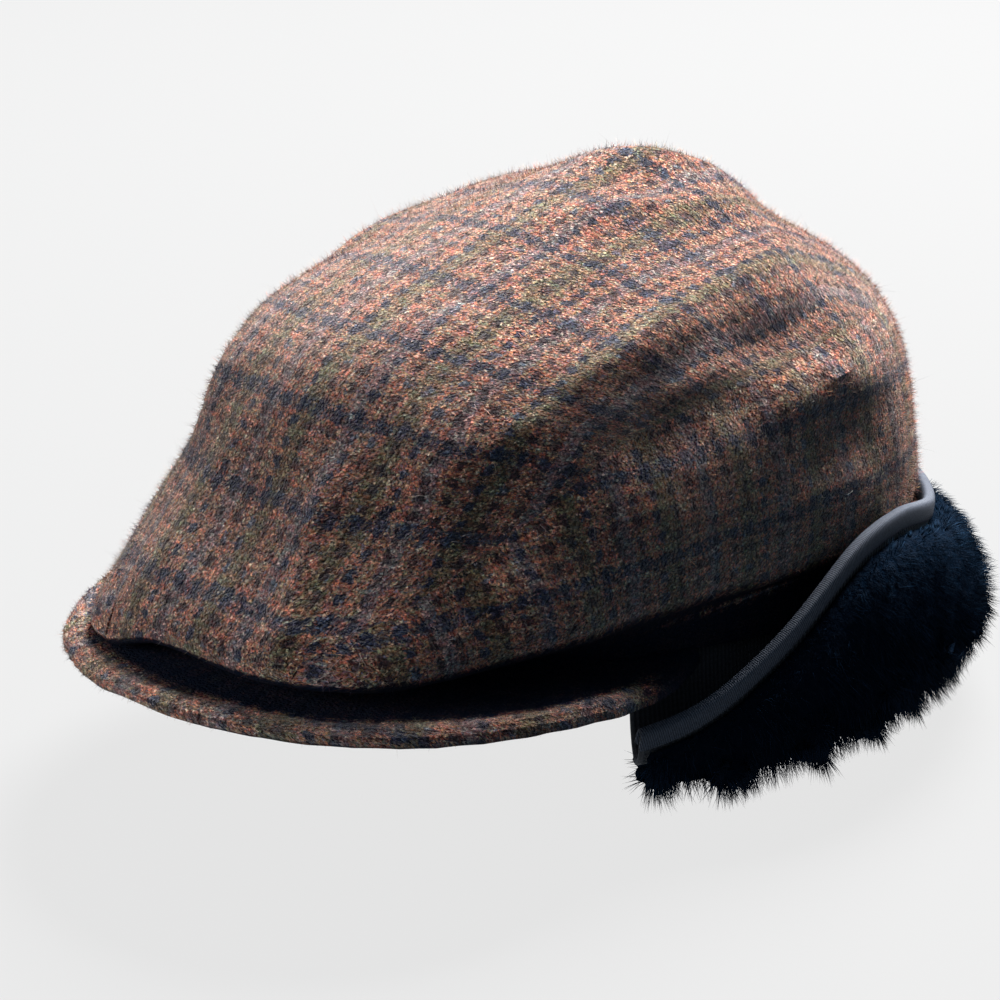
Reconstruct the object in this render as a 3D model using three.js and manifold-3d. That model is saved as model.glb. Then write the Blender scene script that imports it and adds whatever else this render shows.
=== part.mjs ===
// A wool flat cap with a fur earflap turned up round its sides and back.
// Millimetres, +Z up. The origin is the centre of the head opening, the peak points to -Y and the
// wearer's left side is +X. Bearings are degrees from the front: plus goes to the wearer's left.
import * as THREE from "three";
import { mergeVertices } from "three/addons/utils/BufferGeometryUtils.js";
import Module from "manifold-3d";

const GAP = 0.35; // clear space between neighbouring pieces
const SEAM_GAP = 0.4; // and between the crown's panels

// Head opening: the oval that the cloth ends at
const OPENING_LENGTH = 198;
const OPENING_WIDTH = 162;

// Crown
const CLOTH = 2.2; // tweed with what backs it
const TOP_Y = 30; // highest place of the crown, behind the middle of the opening
const TOP_Z = 110;
const CORE_Z = 22; // height that directions out to the crown are taken from
const RIM_OUT = 4.7; // where the crown's cloth ends, outside the opening
const LIP_DROP = 4; // the lip's lowest line below its widest line
const LIP_TUCK = 5; // and inside it
const UNDER_SHARE = 0.7; // rise reached half way out under the lip

// The crown's outline by bearing about its top: height of its rim, then radius and height of the
// widest line of the lip, of the middle of the face, of its high part and of the crest by the top
const CROWN_OUTLINE = [
  { bearing: 0, rimZ: 0, lipR: 186, lipZ: 14, midR: 160, midZ: 44, upR: 131, upZ: 81, topR: 76, topZ: 100 },
  { bearing: 17, rimZ: 0, lipR: 178, lipZ: 14.5, midR: 153, midZ: 44, upR: 124, upZ: 79, topR: 73, topZ: 99 },
  { bearing: 25, rimZ: 0, lipR: 157, lipZ: 16, midR: 140, midZ: 44, upR: 117, upZ: 77, topR: 69, topZ: 98 },
  { bearing: 37, rimZ: 0, lipR: 131, lipZ: 18, midR: 126, midZ: 43, upR: 107, upZ: 75, topR: 63, topZ: 97 },
  { bearing: 49, rimZ: 0, lipR: 113, lipZ: 18, midR: 112, midZ: 42, upR: 98, upZ: 73, topR: 58, topZ: 96 },
  { bearing: 66, rimZ: -2.5, lipR: 98, lipZ: 16, midR: 99, midZ: 41, upR: 87, upZ: 72, topR: 51, topZ: 95 },
  { bearing: 90, rimZ: -2.5, lipR: 90, lipZ: 12, midR: 91, midZ: 38, upR: 80, upZ: 72, topR: 46, topZ: 95 },
  { bearing: 125, rimZ: -2.5, lipR: 80, lipZ: 9, midR: 79, midZ: 36, upR: 69, upZ: 71, topR: 40, topZ: 92 },
  { bearing: 150, rimZ: -2.5, lipR: 79, lipZ: 8, midR: 75, midZ: 35, upR: 65, upZ: 68, topR: 38, topZ: 90 },
  { bearing: 180, rimZ: -2.5, lipR: 78, lipZ: 8, midR: 73, midZ: 35, upR: 63, upZ: 66, topR: 37, topZ: 88 },
];
// What the crown's right side, which leans out at the front, adds to that outline
const RIGHT_LEAN = [
  { bearing: 0, lipR: 0, lipZ: 0, midR: 0 },
  { bearing: 17, lipR: 4, lipZ: -6, midR: 0 },
  { bearing: 30, lipR: 3, lipZ: -8, midR: -1 },
  { bearing: 49, lipR: 1, lipZ: -4, midR: 0 },
  { bearing: 66, lipR: 0, lipZ: 0, midR: 0 },
];
// Levels up a face, as counted by the places that its curve passes through
const LEVEL = { rim: 0, under: 1, tuck: 2, lip: 3, mid: 4, up: 5, crest: 6, top: 7, over: 8 };

// The seam between the top panel and a side panel, from the front lip to the back lip
// (a level is a place up the face, by the order above)
const SEAM = [
  { bearing: 11, level: 3.0 },
  { bearing: 11.5, level: 3.2 },
  { bearing: 18, level: 3.6 },
  { bearing: 28, level: 4.15 },
  { bearing: 38, level: 4.65 },
  { bearing: 60, level: 5.0 },
  { bearing: 96, level: 5.15 },
  { bearing: 128, level: 5.05 },
  { bearing: 146, level: 4.2 },
  { bearing: 149.5, level: 3.2 },
  { bearing: 150, level: 3.0 },
];
const SPINE_LEVELS = [3, 3.5, 4, 4.5, 5, 5.5, 6, 6.5]; // places of the middle line, front and back
const SEAM_END = 0.02; // share of the seam before a side panel starts and after it ends
const STATIONS = 24; // places along the seam that both panels share

// Folds of the crown's cloth: a ridge or dent between two places on it
const FOLDS = [
  { from: [31, -152, 15], to: [16, -116, 61], width: 9, rise: 3 },
  { from: [38, -109, 58], to: [57, -71, 75], width: 12, rise: 2.5 },
  { from: [56, -70, 76], to: [54, 32, 93], width: 9, rise: 4 },
  { from: [61, -71, 69], to: [76, 24, 77], width: 8, rise: -4 },
  { from: [84, -14, 66], to: [85, 24, 69], width: 8, rise: 2.5 },
  { from: [88, -6, 53], to: [87, 34, 54], width: 10, rise: -2.5 },
  { from: [60, -101, 39], to: [77, -74, 16], width: 8, rise: 2.2 },
  { from: [24, -33, 99], to: [45, 28, 96], width: 8, rise: -2.4 },
  { from: [8, -22, 106], to: [37, 34, 101], width: 7, rise: 2.4 },
  { from: [2, -8, 109], to: [26, 30, 105], width: 7, rise: -2.4 },
  { from: [-16, 8, 109], to: [22, 56, 97], width: 9, rise: 3 },
  { from: [-31, -152, 15], to: [-20, -116, 61], width: 9, rise: 2 },
  { from: [-38, -109, 58], to: [-57, -60, 77], width: 12, rise: 2.5 },
  { from: [-34, -114, 58], to: [-42, -50, 89], width: 15, rise: 2.5 },
  { from: [-52, -40, 86], to: [-44, 40, 92], width: 10, rise: 2.5 },
  { from: [-66, -56, 71], to: [-76, 26, 76], width: 9, rise: -3 },
  { from: [-86, -12, 56], to: [-85, 36, 56], width: 10, rise: 2 },
];
const FOLD_RUN_OUT = 0.35; // share of a fold's half length over which it fades at each end
const FOLD_FADE = 2; // how fast it fades there

// Peak: how far its edge stands out by bearing about the opening's middle, and bends down there
const PEAK_OUTLINE = [
  { bearing: -66, reach: 90, drop: 0 },
  { bearing: -58, reach: 105, drop: 2 },
  { bearing: -50, reach: 120, drop: 5 },
  { bearing: -40, reach: 136, drop: 7 },
  { bearing: -30, reach: 151, drop: 7.5 },
  { bearing: -17, reach: 164, drop: 5 },
  { bearing: 0, reach: 168, drop: 1 },
  { bearing: 17, reach: 161, drop: 0 },
  { bearing: 30, reach: 148, drop: 0 },
  { bearing: 40, reach: 134, drop: 0 },
  { bearing: 50, reach: 117, drop: 1 },
  { bearing: 57, reach: 103, drop: 1 },
  { bearing: 63, reach: 91, drop: 0 },
];
const PEAK_THICK = 6;
const PEAK_ROOT_OUT = 3.2; // where it starts, outside the opening
const PEAK_ROOT_Z = -0.4; // top face there
const PEAK_EDGE_Z = 6; // top face at the edge
const PEAK_LIFT_POWER = 0.7; // below 1 the top face rises first and then runs level
const PEAK_END_POWER = 4; // how late the lift fades towards the two ends
const PEAK_ROUND = 4.5; // width of the rounded edge
const PEAK_EDGE_SHARE = 0.3; // thickness left at the very edge
const PEAK_ROWS = [0, 0.012, 0.04, 0.08, 0.3, 0.65, 1]; // shares of the width from the edge inwards

// Earflap: its free edge by bearing about the opening's middle
const EARFLAP = [
  { bearing: 51, edgeR: 108, edgeZ: -15, depth: 6 },
  { bearing: 58, edgeR: 107, edgeZ: -11.5, depth: 9 },
  { bearing: 68, edgeR: 104, edgeZ: -3, depth: 13 },
  { bearing: 80, edgeR: 101.5, edgeZ: 10, depth: 17 },
  { bearing: 92, edgeR: 100, edgeZ: 22, depth: 20 },
  { bearing: 106, edgeR: 100.5, edgeZ: 24, depth: 22 },
  { bearing: 118, edgeR: 102.5, edgeZ: 19, depth: 23 },
  { bearing: 130, edgeR: 105, edgeZ: 12.5, depth: 24 },
  { bearing: 156, edgeR: 110, edgeZ: 8, depth: 24 },
  { bearing: 180, edgeR: 112, edgeZ: 8, depth: 24 },
];
const EARFLAP_CLOTH = 1.8;
const EARFLAP_ROOT_OUT = 0.3; // inner face of its root, outside the opening
const EARFLAP_ROOT_Z = -0.4; // root inside the crown's rim
const EARFLAP_TURN_Z = -34; // height that pulls the turn down
const EARFLAP_LEAN = 3; // lean of the free edge away from the crown

// Binding tape over the free edge
const TAPE = 0.9;
const TAPE_DEPTH = 5;

// Fur pile on the turned-out face
const FUR_FROM = 0.42; // share of the earflap's face where the pile starts
const FUR_BELOW_EDGE = 6.5; // where it stops, clear of the binding
const FUR_END = 0.004; // share of the earflap's run left bare at each end
const FUR_GAP = 0.7;
const FUR_EDGE_SHARE = 0.35; // share of the pile's depth where it starts and stops
const FUR_ROUND = 0.55; // below 1 the pile swells fast from there
const LOCK_ROWS = [0.22, 0.68]; // locks up the pile
const LOCK_COLUMNS = 18; // locks in a row
const LOCK_STAGGER = 0.25; // shift of every other row, in columns
const LOCK_ROOT_SHARE = 0.35; // how far out in the pile a lock starts
const LOCK_PAST = 4.5; // how far its tip stands past the pile
const LOCK_DROOP = 0.4; // 0 stands straight out, 1 hangs straight down
const LOCK_WIDTH = 15;
const LOCK_SIDES = [6, 4]; // round the lock and along it

// Grid of each piece: columns and rows
const TOP_COLUMNS = 26;
const LIP_ROWS = 4;
const SIDE_ROWS = 7;
const PEAK_COLUMNS = 30;
const EARFLAP_GRID = [36, 7];
const FUR_GRID = [36, 5];
const TAPE_TURN_STEPS = 3;

const TWEED = { color: 0x6b4a3a, roughness: 0.95 };
const BLACK_CLOTH = { color: 0x17171b, roughness: 0.9 };
const BLACK_FUR = { color: 0x0e0f14, roughness: 1 };
const CHARCOAL_TAPE = { color: 0x2c2d33, roughness: 0.7 };

// Steps of the working
const OFFSET_STEP = 0.25; // share of a grid cell that a normal is taken over
const BEARING_STEP = 1; // degrees that the crown's normal is taken over
const LEVEL_STEP = 0.02; // and levels
const HALVINGS = 36; // halvings in the search for a level
const WELD = 1e-3; // corners nearer than this are one

const { clamp, degToRad, lerp, radToDeg } = THREE.MathUtils;

// A smooth curve through one table's columns
function table(rows, key) {
  const names = Object.keys(rows[0]).filter((name) => name !== key);
  const positions = rows.map((row) => row[key]);
  const values = rows.flatMap((row) => names.map((name) => row[name]));
  const curve = new THREE.CubicInterpolant(positions, values, names.length);
  curve.settings = { endingStart: THREE.ZeroSlopeEnding, endingEnd: THREE.ZeroSlopeEnding };
  return (at) => {
    const result = curve.evaluate(at);
    return Object.fromEntries(names.map((name, i) => [name, result[i]]));
  };
}

// A place on a bearing about an upright line at depth y
function around(bearing, radius, z, y = 0) {
  const a = degToRad(bearing);
  return new THREE.Vector3(radius * Math.sin(a), y - radius * Math.cos(a), z);
}

// Radius of the head opening, grown outwards, on a bearing about an upright line at depth y
function openingRadius(bearing, grown, y = 0) {
  const a = degToRad(bearing);
  const halfLength = OPENING_LENGTH / 2 + grown;
  const across = Math.sin(a) / (OPENING_WIDTH / 2 + grown);
  const along = -Math.cos(a) / halfLength;
  const start = y / halfLength;
  const square = across * across + along * along;
  const middle = along * start;
  return (-middle + Math.sqrt(middle * middle - square * (start * start - 1))) / square;
}

// The turn from one direction towards another
function between(from, to, share) {
  const angle = from.angleTo(to);
  const part = from.clone().multiplyScalar(Math.sin((1 - share) * angle));
  return part.addScaledVector(to, Math.sin(share * angle)).normalize();
}

// The value at a share of the way through a list
function along(list, share) {
  const at = clamp(share, 0, 1) * (list.length - 1);
  const i = Math.min(Math.floor(at), list.length - 2);
  return lerp(list[i], list[i + 1], at - i);
}

// A sheet moved along its own normal
function offset(sheet, [columns, rows], distance) {
  const du = OFFSET_STEP / columns;
  const dv = OFFSET_STEP / rows;
  return (u, v) => {
    const right = sheet(Math.min(u + du, 1), v).sub(sheet(Math.max(u - du, 0), v));
    const up = sheet(u, Math.min(v + dv, 1)).sub(sheet(u, Math.max(v - dv, 0)));
    return sheet(u, v).addScaledVector(right.cross(up).normalize(), distance(u, v));
  };
}

// A closed wall between an outer and an inner sheet: a thin box bent to them
function wall(outer, inner, [columns, rows]) {
  const box = new THREE.BoxGeometry(1, 1, 1, columns, rows, 1);
  const place = box.getAttribute("position");
  for (let i = 0; i < place.count; i++) {
    const sheet = place.getZ(i) > 0 ? outer : inner;
    const point = sheet(place.getX(i) + 0.5, place.getY(i) + 0.5);
    place.setXYZ(i, point.x, point.y, point.z);
  }
  // Each cell is split along its shorter diagonal
  const index = box.index.array;
  const far = (a, b) => corner(place, a).distanceTo(corner(place, b));
  for (let i = 0; i < index.length; i += 6) {
    const [a, b, d, , c] = index.slice(i, i + 6);
    if (far(a, c) < far(b, d)) index.set([a, b, c, a, c, d], i);
  }
  return joined(box);
}

// One corner of a geometry
function corner(place, i) {
  return new THREE.Vector3().fromBufferAttribute(place, i);
}

// A geometry with its shared corners joined
function joined(geometry) {
  const bare = new THREE.BufferGeometry();
  bare.setAttribute("position", geometry.getAttribute("position"));
  bare.setIndex(geometry.index);
  return mergeVertices(bare, WELD);
}

const cap = new THREE.Group();
cap.name = "earflap_flat_cap";

function add(name, geometry, look) {
  const mesh = new THREE.Mesh(geometry, new THREE.MeshStandardMaterial({ ...look, metalness: 0 }));
  mesh.name = name;
  cap.add(mesh);
}

// Crown: one smooth face, from the rim out to the lip and up to the top
const crownOutline = table(CROWN_OUTLINE, "bearing");
const rightLean = table(RIGHT_LEAN, "bearing");
const crownCore = new THREE.Vector3(0, TOP_Y, CORE_Z);
const faceCurves = new Map();

function faceCurve(bearing) {
  const side = ((((bearing + 180) % 360) + 360) % 360) - 180;
  const key = side.toFixed(4);
  if (!faceCurves.has(key)) {
    const here = crownOutline(Math.abs(side));
    const lean = rightLean(Math.max(0, -side));
    for (const key of Object.keys(lean)) here[key] += lean[key];
    const across = crownOutline(180 - Math.abs(side));
    const rimR = openingRadius(side, RIM_OUT, TOP_Y);
    const tuckR = here.lipR - LIP_TUCK;
    const tuckZ = here.lipZ - LIP_DROP;
    const places = [
      around(side, rimR, here.rimZ, TOP_Y),
      around(side, (rimR + tuckR) / 2, tuckZ * UNDER_SHARE, TOP_Y),
      around(side, tuckR, tuckZ, TOP_Y),
      around(side, here.lipR, here.lipZ, TOP_Y),
      around(side, here.midR, here.midZ, TOP_Y),
      around(side, here.upR, here.upZ, TOP_Y),
      around(side, here.topR, here.topZ, TOP_Y),
      new THREE.Vector3(0, TOP_Y, TOP_Z),
      around(side + 180, across.topR, across.topZ, TOP_Y),
    ];
    faceCurves.set(key, new THREE.CatmullRomCurve3(places, false, "centripetal"));
  }
  return faceCurves.get(key);
}

function facePoint(bearing, level) {
  return faceCurve(bearing).getPoint(level / LEVEL.over);
}

function facing(point) {
  return point.clone().sub(crownCore).normalize();
}

// The smooth face where a line from the crown's core leaves it
function crownAlong(direction, inset) {
  const bearing = radToDeg(Math.atan2(direction.x, -direction.y));
  let low = LEVEL.tuck;
  let high = LEVEL.top;
  for (let i = 0; i < HALVINGS; i++) {
    const middle = (low + high) / 2;
    if (facing(facePoint(bearing, middle)).z < direction.z) low = middle;
    else high = middle;
  }
  return crown(bearing, (low + high) / 2, inset);
}

const folds = FOLDS.map((fold) => {
  const start = facing(new THREE.Vector3(...fold.from));
  const end = facing(new THREE.Vector3(...fold.to));
  const normal = start.clone().cross(end).normalize();
  const ahead = normal.clone().cross(start);
  return { ...fold, start, normal, ahead, span: start.angleTo(end) };
});

// Raises a place of the crown by the folds that pass it
function folded(point) {
  const out = facing(point);
  const reach = point.distanceTo(crownCore);
  let rise = 0;
  for (const fold of folds) {
    const share = Math.atan2(out.dot(fold.ahead), out.dot(fold.start)) / fold.span;
    const off = (Math.asin(clamp(out.dot(fold.normal), -1, 1)) * reach) / fold.width;
    const past = Math.max(0, Math.abs(2 * share - 1) - (1 - FOLD_RUN_OUT)) / FOLD_RUN_OUT;
    rise += fold.rise * Math.exp(-FOLD_FADE * past * past - off * off);
  }
  return point.addScaledVector(out, rise);
}

// A place of the folded crown, set in from its outer face
function crown(bearing, level, inset) {
  const point = folded(facePoint(bearing, level));
  if (!inset) return point;
  const next = folded(facePoint(bearing + BEARING_STEP, level));
  const ahead = next.sub(folded(facePoint(bearing - BEARING_STEP, level)));
  const low = Math.max(level - LEVEL_STEP, LEVEL.rim);
  const up = folded(facePoint(bearing, level + LEVEL_STEP)).sub(folded(facePoint(bearing, low)));
  return point.addScaledVector(ahead.cross(up).normalize(), -inset);
}

const seamLine = new THREE.CatmullRomCurve3(
  SEAM.map((row) => facePoint(row.bearing, row.level)),
  false,
  "centripetal",
);
const spineLine = new THREE.CatmullRomCurve3([
  ...SPINE_LEVELS.map((level) => facePoint(0, level)),
  facePoint(0, LEVEL.top),
  ...SPINE_LEVELS.toReversed().map((level) => facePoint(180, level)),
]);
// Shares of the seam at which both panels have a row of corners
const seamShares = [
  0,
  ...Array.from({ length: STATIONS + 1 }, (_, i) => lerp(SEAM_END, 1 - SEAM_END, i / STATIONS)),
  1,
];

// Top panel: u runs from the right seam to the left one, v from the front rim to the back rim
const topGrid = [TOP_COLUMNS, STATIONS + 2 + 2 * LIP_ROWS];
const topSheet = (inset) => (u, v) => {
  const side = 2 * u - 1;
  const row = v * topGrid[1];
  const fromEnd = Math.min(row, topGrid[1] - row);
  if (fromEnd < LIP_ROWS) {
    const front = row < LIP_ROWS;
    const edge = front ? SEAM[0].bearing : 180 - SEAM[SEAM.length - 1].bearing;
    const level = (LEVEL.lip * fromEnd) / LIP_ROWS;
    const radius = openingRadius(front ? 0 : 180, 0, TOP_Y);
    const swing = side * (edge - radToDeg(SEAM_GAP / 2 / radius));
    return crown(front ? swing : 180 - swing, level, inset);
  }
  const share = along(seamShares, (row - LIP_ROWS) / (STATIONS + 2));
  const middle = facing(spineLine.getPointAt(share));
  const place = seamLine.getPointAt(share);
  const trim = SEAM_GAP / 2 / place.distanceTo(spineLine.getPointAt(share));
  const seam = facing(side < 0 ? place.setX(-place.x) : place);
  return crownAlong(between(middle, seam, Math.abs(side) * (1 - trim)), inset);
};
add("crown_top_panel", wall(topSheet(0), topSheet(CLOTH), topGrid), TWEED);

// Side panels: u runs along the seam, v from the rim out to the lip and up to the seam
const sideGrid = [STATIONS, LIP_ROWS + SIDE_ROWS];
function sideSheet(sign, inset) {
  const [front, back] = [SEAM[0].bearing, SEAM[SEAM.length - 1].bearing];
  const trim = (bearing) => radToDeg(SEAM_GAP / 2 / openingRadius(bearing, 0, TOP_Y));
  return (u, v) => {
    const way = sign > 0 ? u : 1 - u;
    const place = seamLine.getPointAt(lerp(SEAM_END, 1 - SEAM_END, way));
    const bearing = sign * lerp(front + trim(front), back - trim(back), way);
    const row = v * sideGrid[1];
    if (row < LIP_ROWS) return crown(bearing, (LEVEL.lip * row) / LIP_ROWS, inset);
    const lip = facePoint(bearing, LEVEL.lip);
    if (sign < 0) place.setX(-place.x);
    const cut = SEAM_GAP / 2 / lip.distanceTo(place);
    const share = ((row - LIP_ROWS) / SIDE_ROWS) * (1 - cut);
    return crownAlong(between(facing(lip), facing(place), share), inset);
  };
}
for (const [name, sign] of [["crown_side_left", 1], ["crown_side_right", -1]]) {
  add(name, wall(sideSheet(sign, 0), sideSheet(sign, CLOTH), sideGrid), TWEED);
}

// Peak: u runs from the right end to the left one, v from the edge in to the opening
const peakOutline = table(PEAK_OUTLINE, "bearing");
const peakGrid = [PEAK_COLUMNS, PEAK_ROWS.length - 1];
const peakEnds = [PEAK_OUTLINE[0].bearing, PEAK_OUTLINE[PEAK_OUTLINE.length - 1].bearing];
function peakFace(sign) {
  return (u, v) => {
    const bearing = lerp(...peakEnds, u);
    const { reach, drop } = peakOutline(bearing);
    const root = openingRadius(bearing, PEAK_ROOT_OUT);
    const inwards = along(PEAK_ROWS, v);
    const radius = lerp(reach, root, inwards);
    const endShare = bearing / peakEnds[bearing < 0 ? 0 : 1];
    const level = Math.pow(1 - inwards, PEAK_LIFT_POWER) * (1 - endShare ** PEAK_END_POWER);
    const lift = (PEAK_EDGE_Z - PEAK_ROOT_Z) * level - drop * (1 - inwards);
    const rim = Math.max(0, 1 - (reach - radius) / PEAK_ROUND);
    const full = Math.max(PEAK_EDGE_SHARE, Math.sqrt(1 - rim * rim));
    const middle = PEAK_ROOT_Z + lift - PEAK_THICK / 2;
    return around(bearing, radius, middle + sign * full * (PEAK_THICK / 2));
  };
}
add("peak", wall(peakFace(1), peakFace(-1), peakGrid), TWEED);

// Earflap: u runs from the left end round the back to the right end, v from the rim down, out
// through the turn and up to the free edge; the sheet is the face that the fur grows on
const earflapEdge = table(EARFLAP, "bearing");
const earflapEnd = EARFLAP[0].bearing;
function earflapRow(u) {
  const bearing = lerp(earflapEnd, 360 - earflapEnd, u);
  return { bearing, ...earflapEdge(Math.min(bearing, 360 - bearing)) };
}
function earflapCurve(row) {
  const rootR = openingRadius(row.bearing, EARFLAP_ROOT_OUT);
  return new THREE.CubicBezierCurve(
    new THREE.Vector2(rootR, EARFLAP_ROOT_Z),
    new THREE.Vector2(rootR, EARFLAP_TURN_Z),
    new THREE.Vector2(row.edgeR - EARFLAP_LEAN, EARFLAP_TURN_Z),
    new THREE.Vector2(row.edgeR, row.edgeZ),
  );
}
function earflapSheet(u, v) {
  const row = earflapRow(u);
  const place = earflapCurve(row).getPoint(v);
  return around(row.bearing, place.x, place.y);
}
const earflapBack = offset(earflapSheet, EARFLAP_GRID, () => -EARFLAP_CLOTH);
add("earflap", wall(earflapSheet, earflapBack, EARFLAP_GRID), BLACK_CLOTH);

// Binding: u runs along the free edge, v over it from the fur side to the crown side
const tapeGrid = [EARFLAP_GRID[0], 2 + TAPE_TURN_STEPS];
function tapeSheet(clear) {
  const half = EARFLAP_CLOTH / 2 + clear;
  return (u, v) => {
    const [du, dv] = EARFLAP_GRID.map((count) => 1 / count);
    const edge = earflapSheet(u, 1);
    const up = edge.clone().sub(earflapSheet(u, 1 - dv)).normalize();
    const ahead = earflapSheet(Math.min(u + du, 1), 1).sub(earflapSheet(Math.max(u - du, 0), 1));
    const out = ahead.cross(up).normalize();
    const row = v * tapeGrid[1];
    const turn = clamp((row - 1) / TAPE_TURN_STEPS, 0, 1) * Math.PI;
    const leg = Math.max(1 - row, row - 1 - TAPE_TURN_STEPS, 0) * TAPE_DEPTH;
    return edge
      .addScaledVector(out, half * Math.cos(turn) - EARFLAP_CLOTH / 2)
      .addScaledVector(up, half * Math.sin(turn) - leg);
  };
}
add("earflap_binding", wall(tapeSheet(GAP + TAPE), tapeSheet(GAP), tapeGrid), CHARCOAL_TAPE);

// Fur: a pile layer on the turned-out face, with rows of drooping locks fused to it
function furPlace(u, v) {
  const run = lerp(FUR_END, 1 - FUR_END, u);
  const { v2, v3 } = earflapCurve(earflapRow(run));
  const endSpeed = 3 * v3.distanceTo(v2); // of a cubic curve, in mm for a whole v
  return earflapSheet(run, lerp(FUR_FROM, 1 - FUR_BELOW_EDGE / endSpeed, v));
}
function furDepth(u, v) {
  const swell = Math.sin(Math.PI * clamp(v, 0, 1)) ** FUR_ROUND;
  return FUR_GAP + earflapRow(u).depth * lerp(FUR_EDGE_SHARE, 1, swell);
}
const furFace = offset(furPlace, FUR_GRID, furDepth);
const pile = wall(
  furFace,
  offset(furPlace, FUR_GRID, () => FUR_GAP),
  FUR_GRID,
);
const wasm = await Module();
wasm.setup();
function solid(geometry) {
  const place = geometry.getAttribute("position");
  const mesh = { numProp: 3, vertProperties: place.array, triVerts: geometry.index.array };
  return new wasm.Manifold(new wasm.Mesh(mesh));
}
let fur = solid(pile);
const upright = new THREE.Vector3(0, 1, 0); // the length of a fresh lock
const downward = new THREE.Vector3(0, 0, -1);
LOCK_ROWS.forEach((v, row) => {
  for (let column = 0; column < LOCK_COLUMNS; column++) {
    const shift = row % 2 ? LOCK_STAGGER : -LOCK_STAGGER;
    const u = (column + 0.5 + shift) / LOCK_COLUMNS;
    const skin = furPlace(u, v);
    const pileOut = furFace(u, v).sub(skin);
    const length = pileOut.length() * (1 - LOCK_ROOT_SHARE) + LOCK_PAST;
    const root = skin.clone().addScaledVector(pileOut, LOCK_ROOT_SHARE);
    const lie = pileOut.normalize().lerp(downward, LOCK_DROOP).normalize();
    const lock = new THREE.SphereGeometry(0.5, ...LOCK_SIDES).scale(LOCK_WIDTH, length, LOCK_WIDTH);
    lock.translate(0, length / 2, 0);
    lock.applyQuaternion(new THREE.Quaternion().setFromUnitVectors(upright, lie));
    lock.translate(root.x, root.y, root.z);
    fur = fur.add(solid(joined(lock)));
  }
});
const furMesh = fur.getMesh();
const furGeometry = new THREE.BufferGeometry();
furGeometry.setAttribute("position", new THREE.BufferAttribute(furMesh.vertProperties, 3));
furGeometry.setIndex(new THREE.BufferAttribute(furMesh.triVerts, 1));
add("earflap_fur", furGeometry, BLACK_FUR);

export default cap;
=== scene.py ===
"""A wool tweed flat cap with a fur earflap turned up round its sides and back."""
import math

import bmesh
import bpy
import numpy as np
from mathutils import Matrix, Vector, kdtree, noise


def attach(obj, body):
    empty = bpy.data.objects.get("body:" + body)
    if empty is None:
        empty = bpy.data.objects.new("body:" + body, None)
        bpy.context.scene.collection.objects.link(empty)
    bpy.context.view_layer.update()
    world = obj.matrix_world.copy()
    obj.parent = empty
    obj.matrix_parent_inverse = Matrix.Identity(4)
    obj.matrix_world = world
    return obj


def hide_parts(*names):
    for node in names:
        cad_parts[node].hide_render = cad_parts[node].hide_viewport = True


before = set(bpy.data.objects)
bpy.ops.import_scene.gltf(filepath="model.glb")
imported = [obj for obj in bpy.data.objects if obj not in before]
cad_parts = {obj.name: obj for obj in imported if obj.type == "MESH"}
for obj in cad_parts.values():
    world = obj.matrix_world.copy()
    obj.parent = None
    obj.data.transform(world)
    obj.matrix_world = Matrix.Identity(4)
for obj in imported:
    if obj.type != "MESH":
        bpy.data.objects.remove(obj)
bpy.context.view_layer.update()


# Crown, top panel
# One wide piece of brushed wool tweed that runs from the front lip over the top to the back lip.
# It is cut on the straight grain and sewn to the two side panels, and the wool is pressed in folds.
MM = 0.001
CROWN_CORE = np.array([0.0, 30.0, 22.0])  # middle of the crown, in mm as all cloth sizes here
WELD = 2e-5
PANEL_EDGE = math.radians(50)  # a sharper turn than this is a cut edge
SKIN_ROUNDS = 5  # rounds that bring a refined skin back to the corners of its solid
SKIN_STEP = 0.8
SEAM_CLOSE = 0.21  # mm that a panel's cut edge moves to meet the next panel


def soft_copy(node, name, levels, edge_crease=1.0, grow=0.0):
    """A merged copy of a CAD solid, refined to a smooth skin through its corners, and points along
    its cut edges. grow is how far a cut edge moves out to meet its neighbour."""
    bm = bmesh.new()
    bm.from_mesh(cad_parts[node].data)
    bmesh.ops.remove_doubles(bm, verts=bm.verts, dist=WELD)
    bmesh.ops.join_triangles(
        bm, faces=bm.faces, angle_face_threshold=math.radians(50), angle_shape_threshold=math.radians(70)
    )
    bmesh.ops.recalc_face_normals(bm, faces=bm.faces)
    crease = bm.edges.layers.float.new("crease_edge")
    edge_points = []
    cut = set()
    for edge in bm.edges:
        if edge.calc_face_angle(0.0) > PANEL_EDGE:
            edge[crease] = edge_crease
            edge.smooth = edge_crease < 1
            cut.update(edge.verts)
            start, end = (corner.co / MM for corner in edge.verts)
            steps = max(1, round((end - start).length))
            edge_points += [start.lerp(end, i / steps) for i in range(steps + 1)]
    if grow:
        rims = {vert: [f.normal for f in vert.link_faces if cut.issuperset(f.verts)] for vert in cut}
        for vert, sides in rims.items():
            if sides:
                vert.co += sum(sides, Vector()).normalized() * grow * MM
    coarse = bpy.data.meshes.new(name + "_coarse")
    bm.to_mesh(coarse)
    bm.free()
    piece = bpy.data.objects.new(name, coarse)
    bpy.context.scene.collection.objects.link(piece)
    refine = piece.modifiers.new("refine", "SUBSURF")
    refine.levels = levels
    refine.render_levels = levels
    wanted = places(coarse)
    for again in range(SKIN_ROUNDS + 1):
        graph = bpy.context.evaluated_depsgraph_get()
        fine = bpy.data.meshes.new_from_object(piece.evaluated_get(graph))
        if again < SKIN_ROUNDS:
            short = wanted - places(fine)[: len(wanted)]
            put_places(coarse, places(coarse) + SKIN_STEP * short)
            bpy.data.meshes.remove(fine)
    fine.name = name
    piece.modifiers.clear()
    piece.data = fine
    bpy.data.meshes.remove(coarse)
    fine.polygons.foreach_set("use_smooth", np.ones(len(fine.polygons), bool))
    return piece, edge_points


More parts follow.
